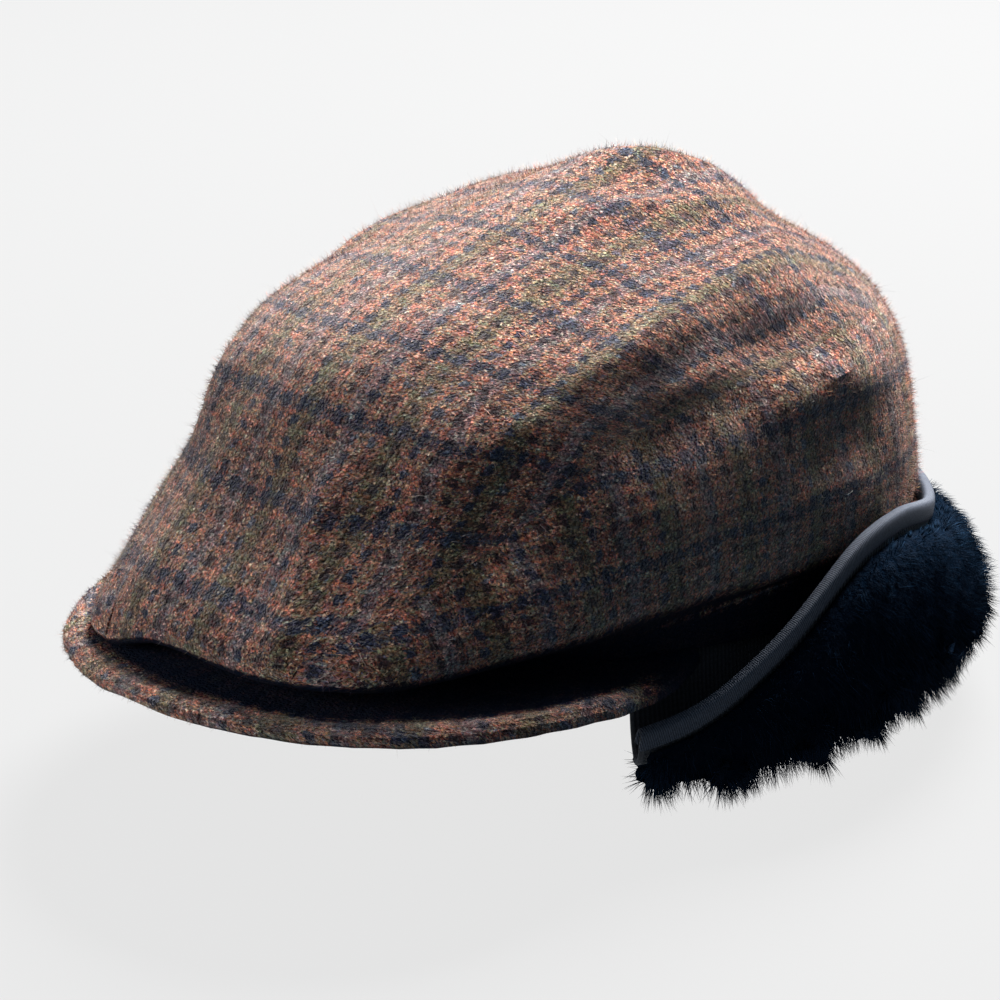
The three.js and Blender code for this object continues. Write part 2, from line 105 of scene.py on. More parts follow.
def places(mesh, field="co"):
    """Every vertex's place in mm, or its normal."""
    found = np.empty(len(mesh.vertices) * 3, np.float32)
    mesh.vertices.foreach_get(field, found)
    found = found.reshape(-1, 3).astype(float)
    return found / MM if field == "co" else found


def put_places(mesh, points):
    mesh.vertices.foreach_set("co", (points * MM).astype(np.float32).ravel())
    mesh.update()


def put_value(mesh, name, values):
    layer = mesh.attributes.new(name, "FLOAT", "POINT")
    layer.data.foreach_set("value", np.asarray(values, np.float32))


def put_grain(mesh, across, along):
    """Lays the cloth's grain on a piece: mm across it and along it, as its UV map."""
    layer = mesh.uv_layers.new(name="grain")
    corners = np.empty(len(mesh.loops), np.int32)
    mesh.loops.foreach_get("vertex_index", corners)
    grain = np.stack([across, along], 1)[corners]
    layer.data.foreach_set("uv", grain.astype(np.float32).ravel())


def ease(low, high, value):
    """0 below low, 1 above high, smooth between."""
    share = np.clip((value - low) / (high - low), 0, 1)
    return share * share * (3 - 2 * share)


def unit(vectors):
    return vectors / np.linalg.norm(vectors, axis=1)[:, None]


def edge_distance(points, edge_points):
    tree = kdtree.KDTree(len(edge_points))
    for i, point in enumerate(edge_points):
        tree.insert(point, i)
    tree.balance()
    return np.array([tree.find(point)[2] for point in points])


# Fine creases pressed into the crown: two ends, half width and rise
CREASES = (
    ((55, -68, 76), (52, 34, 93), 3.2, 0.7),
    ((40, -112, 55), (58, -72, 74), 4.0, 0.9),
    ((31, -150, 17), (17, -118, 60), 3.0, 1.0),
    ((62, -98, 40), (78, -74, 18), 3.5, 0.9),
    ((24, -33, 99), (45, 28, 96), 8.0, 1.3),
    ((8, -22, 106), (37, 34, 101), 7.0, -1.3),
    ((2, -8, 109), (26, 30, 105), 7.0, 1.3),
    ((30, -30, 99), (52, 40, 90), 4.0, 0.5),
    ((20, -26, 103), (43, 44, 95), 4.0, -0.4),
    ((8, -22, 106), (37, 40, 99), 4.0, 0.6),
    ((2, -8, 109), (28, 48, 100), 4.0, -0.4),
    ((-10, 0, 110), (18, 60, 96), 4.0, 0.5),
    ((62, -50, 72), (70, 30, 82), 3.5, -1.0),
    ((57, -72, 75), (60, -16, 86), 6.0, 1.0),
    ((71, -70, 58), (82, -16, 61), 13.0, -2.0),
    ((62, -72, 69), (71, -12, 76), 6.0, 2.6),
    ((73, -64, 62), (80, -8, 69), 7.0, -2.2),
    ((88, -30, 44), (88, 30, 46), 4.0, -0.8),
    ((86, -8, 62), (84, 40, 62), 4.0, 0.9),
    ((-55, -60, 77), (-52, 36, 93), 3.0, 1.2),
    ((-88, -20, 44), (-88, 34, 46), 4.0, 0.8),
    ((20, 88, 70), (26, 104, 30), 4.5, 0.9),
    ((-24, 88, 70), (-20, 104, 30), 4.5, 0.9),
)
SLUB = 0.7  # height of the cloth's soft unevenness
SLUB_SIZE = 19.0
SEAM_ROLL = 5.0  # width of cloth that rolls down into a seam
SEAM_DEPTH = 0.12
LIP_SAG = 5.0  # how far the front lip hangs down on the wearer's right


def press_cloth(points, normals, edge_gap):
    """Presses creases and the seam's roll into a crown panel, and soft unevenness into its face."""
    out = points - CROWN_CORE
    reach = np.linalg.norm(out, axis=1)
    out /= reach[:, None]
    outside = ease(0.1, 0.5, (normals * out).sum(1))
    rise = np.zeros(len(points))
    for start, end, width, height in CREASES:
        first = (np.array(start) - CROWN_CORE) / np.linalg.norm(np.array(start) - CROWN_CORE)
        last = (np.array(end) - CROWN_CORE) / np.linalg.norm(np.array(end) - CROWN_CORE)
        span = math.acos(first @ last)
        side = np.cross(first, last) / math.sin(span)
        share = np.arctan2(out @ np.cross(side, first), out @ first) / span
        off = np.arcsin(np.clip(out @ side, -1, 1)) * reach / width
        rise += height * np.exp(-off * off) * (1 - ease(0.3, 0.62, np.abs(share - 0.5)))
    slub = np.array([noise.fractal(Vector(point) / SLUB_SIZE, 0.8, 2.2, 3) for point in points])
    roll = 1 - ease(0, SEAM_ROLL, edge_gap)
    rise -= SEAM_DEPTH * roll * outside
    moved = points + out * rise[:, None] + normals * (SLUB * slub * (1 - roll) * outside)[:, None]
    sag = ease(-12, -40, points[:, 0]) * ease(-104, -130, points[:, 1]) * ease(50, 10, points[:, 2])
    moved[:, 2] -= LIP_SAG * sag
    return moved


def painted_shade(points, normals):
    """Share of painted shade where the cloth lies out of the light: under the lip, inside the crown and just over the
    rim.
    """
    out = points - CROWN_CORE
    out /= np.linalg.norm(out, axis=1)[:, None]
    inside = 1 - ease(-0.25, 0.15, (normals * out).sum(1))
    under = ease(-0.1, 0.5, -normals[:, 2]) * (1 - ease(14, 22, points[:, 2]))
    below = (1 - ease(9, 12.5, points[:, 2])) * ease(-80, -64, points[:, 1])
    return np.maximum.reduce([inside, under, below])


# Middle line of the top panel from the front rim to the back rim: y and z
SPINE = np.array(
    [(-160, -6), (-156, 14), (-131, 47), (-101, 81), (-46, 100), (30, 110), (67, 89), (93, 66), (103, 35), (109, 8)], float
)


def top_grain(points):
    """Grain of the top panel: its own width across the middle line, and length along it."""
    share = np.linspace(0, len(SPINE) - 1, 120)
    spine = np.stack([np.interp(share, np.arange(len(SPINE)), SPINE[:, i]) for i in range(2)], 1)
    run = np.concatenate([[0], np.cumsum(np.linalg.norm(np.diff(spine, axis=0), axis=1))])
    spine = spine - CROWN_CORE[1:]
    here = points[:, 1:] - CROWN_CORE[1:]
    spine_turn, turn = (np.arctan2(way[:, 0], way[:, 1]) for way in (spine, here))
    sag = np.interp(turn, spine_turn, np.hypot(*spine.T)) - np.hypot(*here.T)
    across = points[:, 0]
    sag = np.clip(sag / np.maximum(np.abs(across), 8), 0, 1.2)
    return across * (1 + 0.6 * sag**2), np.interp(turn, spine_turn, run)


def wire(tree, kind, sockets=None, **settings):
    """Adds a shader node, with values or other sockets put into its inputs."""
    made = tree.nodes.new(kind)
    for key, value in settings.items():
        setattr(made, key, value)
    for key, value in (sockets or {}).items():
        if isinstance(value, bpy.types.NodeSocket):
            tree.links.new(value, made.inputs[key])
        else:
            made.inputs[key].default_value = value
    return made


def maths(tree, operation, *values):
    return wire(tree, "ShaderNodeMath", dict(enumerate(values)), operation=operation).outputs[0]


def dye(tree, share, cloth, colour, blend_type="MIX"):
    """Mixes one colour into another."""
    sockets = {0: share, 6: cloth, 7: colour}
    return wire(tree, "ShaderNodeMix", sockets, data_type="RGBA", blend_type=blend_type).outputs[2]


def slope(tree, value, low, high, at_low=0.0, at_high=1.0):
    """Eases a value from one range to another."""
    sockets = {0: value, 1: low, 2: high, 3: at_low, 4: at_high}
    return wire(tree, "ShaderNodeMapRange", sockets, interpolation_type="SMOOTHSTEP").outputs[0]


def speckle(tree, vector, scale, detail=2.0, roughness=0.6, output="Fac"):
    sockets = {"Vector": vector, "Scale": scale, "Detail": detail, "Roughness": roughness}
    return wire(tree, "ShaderNodeTexNoise", sockets).outputs[output]


def attribute(tree, name):
    return wire(tree, "ShaderNodeAttribute", attribute_name=name).outputs["Fac"]


def new_finish(name, **shine):
    """A material with its main shader, whose even values are set on its own sockets."""
    finish = bpy.data.materials.new(name)
    finish.use_nodes = True
    shader = finish.node_tree.nodes["Principled BSDF"]
    for key, value in shine.items():
        shader.inputs[key.replace("_", " ")].default_value = value
    return finish, finish.node_tree, shader


# Tweed: the yarns that are mixed in its ground, in its dots and in its stripes, as share and colour
GROUND = (
    (0.0, (0.02, 0.011, 0.015, 1)), (0.12, (0.1, 0.033, 0.032, 1)), (0.26, (0.33, 0.1, 0.064, 1)),
    (0.39, (0.5, 0.195, 0.122, 1)), (0.49, (0.54, 0.285, 0.19, 1)), (0.57, (0.23, 0.125, 0.145, 1)),
    (0.62, (0.12, 0.13, 0.19, 1)), (0.69, (0.58, 0.24, 0.105, 1)), (0.79, (0.3, 0.215, 0.11, 1)),
    (0.85, (0.22, 0.225, 0.15, 1)), (0.91, (0.58, 0.36, 0.2, 1)), (1.0, (0.72, 0.58, 0.46, 1)),
)
NAVY = ((0.0, (0.004, 0.006, 0.016, 1)), (0.5, (0.013, 0.02, 0.05, 1)), (0.85, (0.03, 0.042, 0.09, 1)),
        (1.0, (0.11, 0.14, 0.22, 1)))
PLUM = ((0.0, (0.006, 0.004, 0.009, 1)), (0.5, (0.024, 0.012, 0.021, 1)), (0.82, (0.055, 0.029, 0.04, 1)),
        (1.0, (0.2, 0.095, 0.08, 1)))
SLATE = ((0.0, (0.03, 0.037, 0.06, 1)), (0.5, (0.1, 0.125, 0.18, 1)), (0.8, (0.19, 0.23, 0.3, 1)),
         (1.0, (0.42, 0.43, 0.45, 1)))
OLIVE = ((0.0, (0.025, 0.024, 0.014, 1)), (0.5, (0.09, 0.1, 0.046, 1)), (0.8, (0.21, 0.215, 0.1, 1)),
         (1.0, (0.44, 0.38, 0.24, 1)))
DARK = (0.022, 0.016, 0.018, 1)
# painted shade: the colour of cloth that lies out of the light
SHADOW = (0.0055, 0.0095, 0.021, 1)
LINT = (0.62, 0.55, 0.5, 1)
RUSTY, MOSSY = (1.28, 0.93, 0.91, 1), (0.86, 1.05, 1.03, 1)  # how the wool's own shade drifts along a row
HEATHER = (0.2, 0.42, 1.0)  # how fast that shade changes across and along the grain
CHECK = 6.3  # mm from one dot to the next
PANE = 28.0  # mm between overcheck lines
TUFT = 0.5  # mm across one tuft of a single colour
CLUMP = 1.05  # mm across the clumps that the brushed wool draws into
SHEEN = 0.5


def line(tree, place, start, spacing, width):
    """1 on thin lines that repeat, 0 between them."""
    off = maths(tree, "PINGPONG", maths(tree, "SUBTRACT", place, start), spacing / 2)
    return slope(tree, off, width / 2 - 0.5, width / 2 + 0.7, 1.0, 0.0)


def band(tree, place, spacing, low, high):
    """A soft dark band that repeats."""
    wave = maths(tree, "COSINE", maths(tree, "MULTIPLY", place, 2 * math.pi / spacing))
    return slope(tree, wave, low, high)


def yarns(tree, share, colours):
    """A colour taken from a row of yarns."""
    ramp = wire(tree, "ShaderNodeValToRGB", {0: share})
    for i, (place, colour) in enumerate(colours):
        stop = ramp.color_ramp.elements[i] if i < 2 else ramp.color_ramp.elements.new(place)
        stop.position = place
        stop.color = colour
    return ramp.outputs[0]


def drift(tree, vector, scale, size):
    """Moves a place about by up to half of size."""
    swing = speckle(tree, vector, scale, 1.0, 0.5, "Color")
    swing = wire(tree, "ShaderNodeVectorMath", {0: swing, 1: (0.5, 0.5, 0.5)}, operation="SUBTRACT").outputs[0]
    swing = wire(tree, "ShaderNodeVectorMath", {0: swing, "Scale": size}, operation="SCALE").outputs[0]
    return wire(tree, "ShaderNodeVectorMath", {0: vector, 1: swing}, operation="ADD").outputs[0]


def make_tweed(name, loose=False):
    """The tweed's finish, or that of the loose fibres on its face."""
    finish, tree, shader = new_finish(
        name, Roughness=0.95, Specular_IOR_Level=0.03, Sheen_Roughness=0.3, Sheen_Tint=(1.0, 0.94, 0.87, 1)
    )
    cut = wire(tree, "ShaderNodeUVMap", uv_map="grain").outputs[0]
    grain = drift(tree, drift(tree, cut, 0.09, 4.0), 0.45, 2.9)
    split = wire(tree, "ShaderNodeSeparateXYZ", {0: grain})
    across, along = split.outputs[0], split.outputs[1]
    ragged = drift(tree, cut, 1.4, 1.5)
    tufts = wire(tree, "ShaderNodeTexVoronoi", {"Vector": ragged, "Scale": 1 / TUFT}, voronoi_dimensions="2D")
    chance = wire(tree, "ShaderNodeSeparateColor", {0: tufts.outputs["Color"]})
    yarn, stray, shade = chance.outputs[0], chance.outputs[1], chance.outputs[2]
    if loose:
        yarn = attribute(tree, "yarn")
    fibre = speckle(tree, cut, 1.7, 3.0, 0.75)
    matted = drift(tree, cut, 0.8, 1.6)
    clumps = wire(tree, "ShaderNodeTexVoronoi", {"Vector": matted, "Scale": 1 / CLUMP}, voronoi_dimensions="2D").outputs["Distance"]
    second = wire(tree, "ShaderNodeVectorMath", {0: cut, 1: (91.0, 37.0, 5.0)}, operation="ADD").outputs[0]
    patch = speckle(tree, second, 0.17, 2.0, 0.6)
    rows = wire(tree, "ShaderNodeVectorMath", {0: second, 1: HEATHER}, operation="MULTIPLY").outputs[0]
    heather = slope(tree, speckle(tree, rows, 1.0, 2.0, 0.6), 0.36, 0.64)

    def weave(cloth, mask, colours, strength=1.0):
        """Puts other yarns where the mask is, with stray tufts at its rim."""
        loose_rim = maths(tree, "MULTIPLY_ADD", stray, -0.75, maths(tree, "ADD", mask, 0.35))
        share = maths(tree, "MULTIPLY", slope(tree, loose_rim, 0.2, 0.75), strength)
        return dye(tree, share, cloth, yarns(tree, yarn, colours))

    cloth = yarns(tree, yarn, GROUND)
    warp, weft = band(tree, across, CHECK, -0.15, 0.85), band(tree, along, CHECK, -0.75, 0.5)
    cloth = weave(cloth, line(tree, across, 3.0, PANE, 6.0), OLIVE, 0.65)
    cloth = weave(cloth, line(tree, across, 17.0, PANE, 4.0), SLATE, 0.5)
    dots = maths(tree, "MULTIPLY", warp, weft)
    cloth = weave(cloth, maths(tree, "MULTIPLY", maths(tree, "MAXIMUM", warp, weft), 0.36), PLUM, 0.7)
    cloth = weave(cloth, dots, PLUM, 0.9)
    cloth = weave(cloth, maths(tree, "MULTIPLY", dots, band(tree, across, 3 * CHECK, -0.2, 0.4)), NAVY, 0.85)
    cloth = weave(cloth, maths(tree, "MULTIPLY", dots, slope(tree, patch, 0.55, 0.68)), SLATE, 0.7)
    pane = line(tree, along, 9.0, PANE, 4.2)
    cloth = weave(cloth, maths(tree, "MULTIPLY", pane, maths(tree, "MULTIPLY_ADD", warp, 0.45, 0.6)), NAVY, 0.92)
    # Brightness of the cloth: the tufts' and patches' random tone, and painted shade in the low places of the fibre
    # grain and in the hollows between clumps, as in the bump.
    light = maths(tree, "MULTIPLY", slope(tree, fibre, 0.32, 0.68, 0.35, 1.65), slope(tree, shade, 0.0, 1.0, 0.7, 1.3))
    light = maths(tree, "MULTIPLY", light, slope(tree, patch, 0.25, 0.75, 0.88, 1.12))
    light = maths(tree, "MULTIPLY", light, slope(tree, clumps, 0.2, 0.75, 1.24, 0.52))
    if loose:
        light = maths(tree, "MULTIPLY", light, slope(tree, attribute(tree, "tone"), 0.0, 1.0, 0.55, 1.5))
    cloth = dye(tree, 1.0, cloth, light, "MULTIPLY")
    cloth = dye(tree, 1.0, cloth, dye(tree, heather, RUSTY, MOSSY), "MULTIPLY")
    if loose:
        cloth = dye(tree, slope(tree, attribute(tree, "tone"), 0.86, 1.0, 0.0, 0.55), cloth, LINT)
        tree.links.new(cloth, shader.inputs["Base Color"])
        return finish
    cloth = dye(tree, slope(tree, attribute(tree, "edge_gap"), 0.0, 1.6, 0.06, 0.0), cloth, DARK)
    # Painted shade: the shadow colour goes in where the cloth lies out of the light, and the sheen goes out there.
    painted_shade_share = attribute(tree, "painted_shade")
    cloth = dye(tree, maths(tree, "MULTIPLY", painted_shade_share, 0.97), cloth, SHADOW)
    tree.links.new(cloth, shader.inputs["Base Color"])
    tree.links.new(slope(tree, painted_shade_share, 0.0, 0.6, SHEEN, 0.0), shader.inputs["Sheen Weight"])
    height = maths(tree, "MULTIPLY_ADD", clumps, -0.9, fibre)
    nap = wire(tree, "ShaderNodeBump", {"Height": height, "Strength": 1.0, "Distance": 0.0012})
    tree.links.new(nap.outputs[0], shader.inputs["Normal"])
    return finish


tweed = make_tweed("tweed")


def finish_tweed(piece, node, grain, points, normals, edge_gap):
    """Lays grain, painted shade and finish on a tweed piece and fixes it to the cap."""
    put_grain(piece.data, *grain)
    put_value(piece.data, "edge_gap", edge_gap)
    put_value(piece.data, "painted_shade", painted_shade(points, normals))
    piece.data.materials.clear()
    piece.data.materials.append(tweed)
    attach(piece, "root")
    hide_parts(node)


def make_panel(name, node, levels, grain_of):
    piece, edge_points = soft_copy(node, name, levels, grow=SEAM_CLOSE)
    points, normals = places(piece.data), places(piece.data, "normal")
    edge_gap = edge_distance(points, edge_points)
    grain = grain_of(points)
    put_places(piece.data, press_cloth(points, normals, edge_gap))
    finish_tweed(piece, node, grain, points, normals, edge_gap)
    return piece


crown_top = make_panel("crown_top", "crown_top_panel", 2, top_grain)


# Crown, side panels
# Two long pieces of the same tweed, one each side, sewn to the top panel along a seam that rises
# from the front lip. Their grain lies level with the rim, and they tuck under to the rim below.
SIDE_RUN = 1.08  # length of cloth along a side for each mm of the cap's length


def side_grain(points):
    """Grain of a side panel: level along the rim, and up the face."""
    bulge = np.abs(points[:, 0]) - 80
    return points[:, 1] * SIDE_RUN + 7.0, points[:, 2] * 1.12 - bulge * 0.3


crown_left = make_panel("crown_left", "crown_side_left", 2, side_grain)
crown_right = make_panel("crown_right", "crown_side_right", 2, side_grain)


# Peak
# A short stiff peak covered in the tweed, which is drawn tight over its edge and gathers a little
# towards its two ends. It is sewn into the front of the head opening, under the crown's lip.
GATHER = 0.5  # height of the small gathers at the edge
GATHER_SIZE = 5.0
ROOT_LIFT = 1.1  # how far the peak's root rises into the seam of the head opening
HEAD_OVAL = (81.0, 99.0)  # half width and half length of the head opening
PEAK_DARK = (4.0, 9.0)  # mm in from the edge where the painted shade under the crown's lip starts and is full
PEAK_END_SHADE = (46.0, 55.0)  # degrees from the front where painted shade on the peak's ends starts and is full, as they go in under the earflap
PEAK_BEARINGS = (-66, -58, -50, -40, -30, -17, 0, 17, 30, 40, 50, 57, 63)
PEAK_REACH = (90, 105, 120, 136, 151, 164, 168, 161, 148, 134, 117, 103, 91)


def peak_edge(bearing):
    """How far the peak reaches out on a bearing from the front."""
    return np.interp(np.degrees(bearing), PEAK_BEARINGS, PEAK_REACH)


def peak_grain(points):
    """Grain of the peak: mm round its edge, and out over the edge."""
    return np.arctan2(points[:, 0], -points[:, 1]) * 135.0, np.hypot(points[:, 0], points[:, 1]) - points[:, 2]


def make_peak():
    piece, edge_points = soft_copy("peak", "peak_cloth", 2, 1.0)
    points, normals = places(piece.data), places(piece.data, "normal")
    radius = np.hypot(points[:, 0], points[:, 1])
    bearing = np.arctan2(points[:, 0], -points[:, 1])
    run = bearing * 135.0
    sewn = np.hypot(points[:, 0] / HEAD_OVAL[0], points[:, 1] / HEAD_OVAL[1])
    lift = ROOT_LIFT * (1 - ease(1.05, 1.14, sewn))
    edge = ease(8, 22, -np.degrees(bearing)) * ease(12, 2, peak_edge(bearing) - radius)
    pucker = np.sin(run * 2 * math.pi / GATHER_SIZE + 0.6 * np.sin(run / 9)) * edge
    slub = np.array([noise.fractal(Vector(point) / SLUB_SIZE, 0.8, 2.2, 3) for point in points])
    moved = points + normals * (GATHER * pucker + 0.5 * slub * ease(1.05, 1.14, sewn))[:, None]
    moved[:, 2] += lift
    put_places(piece.data, moved)
    finish_tweed(piece, "peak", peak_grain(points), points, normals, np.full(len(points), 9.0))
    # Painted shade on the peak: its underside, its top under the crown's lip, and its two ends.
    under = np.maximum(ease(0.3, 0.8, -normals[:, 2]) * 0.6, ease(*PEAK_DARK, peak_edge(bearing) - radius))
    under = np.maximum(under, ease(*PEAK_END_SHADE, np.abs(np.degrees(bearing))))
    piece.data.attributes["painted_shade"].data.foreach_set("value", under.astype(np.float32))
    return piece


peak_cloth = make_peak()


# Earflap
# A band of matt black knitted cloth sewn inside the head opening from one end of the peak round the
# back to the other. It is turned up on the outside, so that its fur shows and its root hides.
KNIT = (0.011, 0.012, 0.016, 1)
KNIT_RAISED = (0.03, 0.031, 0.037, 1)
KNIT_RIB = 1.6


def band_grain(points):
    """Grain of a piece that runs round the opening: mm round it, and up it."""
    return np.arctan2(points[:, 0], -points[:, 1]) * 104.0, points[:, 2]


def make_knit():
    finish, tree, shader = new_finish("black_knit", Roughness=0.9, Specular_IOR_Level=0.15, Sheen_Weight=0.2)
    split = wire(tree, "ShaderNodeSeparateXYZ", {0: wire(tree, "ShaderNodeUVMap", uv_map="grain").outputs[0]})
    rib = maths(tree, "SINE", maths(tree, "MULTIPLY", split.outputs[0], 2 * math.pi / KNIT_RIB))
    course = maths(tree, "SINE", maths(tree, "MULTIPLY", split.outputs[1], 2 * math.pi / KNIT_RIB))
    place = wire(tree, "ShaderNodeTexCoord").outputs["Object"]
    fluff = speckle(tree, place, 1400.0, 2.0, 0.6)
    stitch = maths(tree, "MULTIPLY_ADD", course, 0.35, rib)
    tree.links.new(dye(tree, slope(tree, maths(tree, "ADD", stitch, fluff), -0.4, 1.8), KNIT, KNIT_RAISED),
                   shader.inputs["Base Color"])
    height = maths(tree, "MULTIPLY_ADD", stitch, 0.3, fluff)
    bump = wire(tree, "ShaderNodeBump", {"Height": height, "Strength": 0.7, "Distance": 0.0004})
    tree.links.new(bump.outputs[0], shader.inputs["Normal"])
    return finish


earflap_band, _ = soft_copy("earflap", "earflap_band", 2, 0.5)
put_grain(earflap_band.data, *band_grain(places(earflap_band.data)))
earflap_band.data.materials.clear()
earflap_band.data.materials.append(make_knit())
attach(earflap_band, "root")
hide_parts("earflap")


# Earflap fur
# Deep black pile fur on the turned-out face of the earflap. The pile is a dense backing of short
# hair with long glossy hairs that gather in pointed locks and droop towards the bottom.
FUR_SEED = 11
FUR_PIECES = 4
FUR_HAIRS = 7800  # in each piece
FUR_LENGTH = (5.2, 7.8)
FUR_WIDTH = 0.19
FUR_SINK = 4.0  # depth in the pile where a hair starts to show
FUR_DROOP = 0.4
FRINGE_Z = -42.0  # where the hairs under the earflap end
FRINGE = (1.0, 4.4)
LOCK_SPACING = 5.0
LOCK_PULL = 0.8  # how far the tips of a lock draw together
FLOOR_Z = -48.5
FUR_BLACK = (0.0018, 0.0048, 0.0105, 1)
FUR_BLUE = (0.0105, 0.031, 0.064, 1)


def hair_shape(steps):
    """One straight hair, a unit long and thick, that tapers to its tip."""
    bm = bmesh.new()
    bmesh.ops.create_cone(bm, cap_ends=True, segments=3, radius1=1.0, radius2=0.0, depth=1.0)
    bmesh.ops.translate(bm, verts=bm.verts, vec=(0, 0, 0.5))
    bmesh.ops.remove_doubles(bm, verts=bm.verts, dist=1e-4)
    sides = [edge for edge in bm.edges if abs(edge.verts[0].co.z - edge.verts[1].co.z) > 0.5]
    bmesh.ops.subdivide_edges(bm, edges=sides, cuts=steps - 1)
    bmesh.ops.triangulate(bm, faces=bm.faces)
    bmesh.ops.recalc_face_normals(bm, faces=bm.faces)
    bm.verts.index_update()
    corners = np.array([v.co for v in bm.verts])
    faces = np.array([[v.index for v in f.verts] for f in bm.faces])
    bm.free()
    return corners, faces


def grow_hairs(name, roots, aims, bends, lengths, width, tones, steps=2, floor=None):
    """A piece of many hairs: each leaves its root along its aim and bends away towards its tip."""
    corners, faces = hair_shape(steps)
    rise = corners[:, 2]
    side = np.cross(aims, np.array([0.31, 0.77, 0.55]))
    side /= np.linalg.norm(side, axis=1)[:, None]
    third = np.cross(aims, side)
    points = roots[:, None] + aims[:, None] * (lengths[:, None] * rise)[..., None]
    points = points + bends[:, None] * (lengths[:, None] * rise * rise)[..., None]
    points = points + side[:, None] * (corners[:, 0] * width)[None, :, None]
    points = points + third[:, None] * (corners[:, 1] * width)[None, :, None]
    if floor is not None:
        low = points[..., 2] < floor
        points[..., 2] = np.where(low, floor + (points[..., 2] - floor) * 0.02, points[..., 2])
    count = len(roots)
    mesh = bpy.data.meshes.new(name)
    all_faces = (faces[None] + (np.arange(count) * len(corners))[:, None, None]).reshape(-1, 3)
    mesh.vertices.add(count * len(corners))
    mesh.loops.add(all_faces.size)
    mesh.polygons.add(len(all_faces))
    mesh.loops.foreach_set("vertex_index", all_faces.ravel().astype(np.int32))
    mesh.polygons.foreach_set("loop_start", np.arange(0, all_faces.size, 3, dtype=np.int32))
    put_places(mesh, points.reshape(-1, 3))
    mesh.validate()
    put_value(mesh, "tone", np.repeat(tones, len(corners)))
    put_value(mesh, "rise", np.tile(rise, count))
    mesh.shade_smooth()
    piece = bpy.data.objects.new(name, mesh)
    bpy.context.scene.collection.objects.link(piece)
    return piece


def scatter(mesh, count, rng, keep):
    """Random places on the kept faces of a piece, evenly by area, with their normals."""
    mesh.calc_loop_triangles()
    triangles = np.empty(len(mesh.loop_triangles) * 3, np.int32)
    mesh.loop_triangles.foreach_get("vertices", triangles)
    triangles = triangles.reshape(-1, 3)
    points, normals = places(mesh), places(mesh, "normal")
    a, b, c = (points[triangles[:, i]] for i in range(3))
    area = np.linalg.norm(np.cross(b - a, c - a), axis=1)
    area *= keep((a + b + c) / 3, normals[triangles].mean(1))
    chosen = rng.choice(len(triangles), count, p=area / area.sum())
    first, second = rng.random((2, count))
    over = first + second > 1
    first, second = np.where(over, 1 - first, first), np.where(over, 1 - second, second)
    shares = np.stack([1 - first - second, first, second], 1)
    corners = triangles[chosen]
    facing = (normals[corners] * shares[..., None]).sum(1)
    facing /= np.linalg.norm(facing, axis=1)[:, None]
    return (points[corners] * shares[..., None]).sum(1), facing


def make_fur_finish():
    finish, tree, shader = new_finish("black_fur", Roughness=0.7, Specular_IOR_Level=0.01)
    tone = maths(tree, "MULTIPLY", attribute(tree, "tone"), slope(tree, attribute(tree, "rise"), 0.2, 1.0, 0.3, 1.0))
    tree.links.new(dye(tree, tone, FUR_BLACK, FUR_BLUE), shader.inputs["Base Color"])
    return finish


def make_pile_finish():
    finish, tree, shader = new_finish("black_pile", Roughness=0.9, Specular_IOR_Level=0.0)
    place = wire(tree, "ShaderNodeTexCoord").outputs["Object"]
    tuft = speckle(tree, place, 420.0, 3.0, 0.7)
    tree.links.new(dye(tree, slope(tree, tuft, 0.35, 0.7), FUR_BLACK, (0.005, 0.008, 0.014, 1)), shader.inputs["Base Color"])
    bump = wire(tree, "ShaderNodeBump", {"Height": tuft, "Strength": 1.0, "Distance": 0.002})
    tree.links.new(bump.outputs[0], shader.inputs["Normal"])
    return finish


fur_pile, _ = soft_copy("earflap_fur", "fur_pile", 1, 0.0)
pile_points, pile_normals = places(fur_pile.data), places(fur_pile.data, "normal")


def away(points, normals):
    """1 where a face of the fur looks out from the cap or down, 0 where it lies on the earflap."""
    out = np.stack([points[:, 0], points[:, 1], np.zeros(len(points))], 1)
    return ((normals * unit(out)).sum(1) + 0.5 * np.abs(normals[:, 2]) > 0.12).astype(float)


